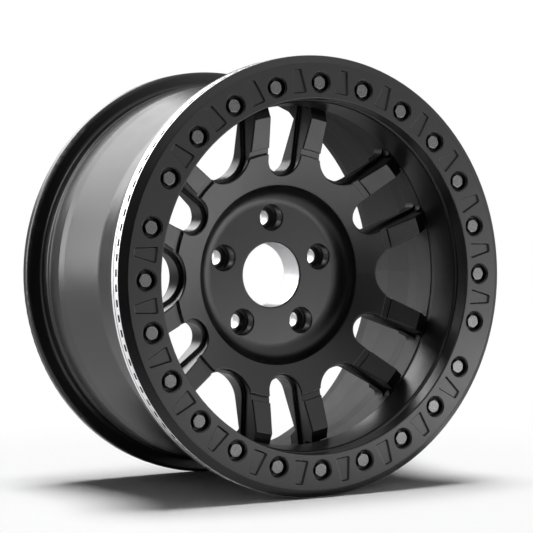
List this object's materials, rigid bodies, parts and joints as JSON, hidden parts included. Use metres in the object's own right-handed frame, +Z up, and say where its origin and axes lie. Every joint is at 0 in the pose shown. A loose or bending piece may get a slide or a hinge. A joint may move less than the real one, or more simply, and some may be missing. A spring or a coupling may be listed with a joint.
{
  "type": "beadlock wheel",
  "caption": "Deep off-road wheel with paired spokes, a dished hub and a bolted outer clamp ring that holds the tyre's bead.",
  "frame": {"origin": "centre of the hub bore on the rear mounting face", "axes": "+Y along the axle towards the vehicle, so the wheel's face looks to -Y; +Z up; +X to the right of the face"},
  "size_m": [0.469, 0.2589, 0.469],
  "materials": {
    "wheel_paint": "satin black paint over cast aluminium",
    "ring_paint": "satin black paint with a bare machined edge",
    "bolt_steel": "dull zinc-plated steel",
    "washer_steel": "dark plated steel",
    "insert_steel": "bright steel"
  },
  "bodies": {
    "root": {"wheel_body": "wheel_paint", "beadlock_ring": "ring_paint", "ring_bolts": "bolt_steel", "bolt_washers": "washer_steel", "thread_inserts": "insert_steel"}
  },
  "joints": []
}
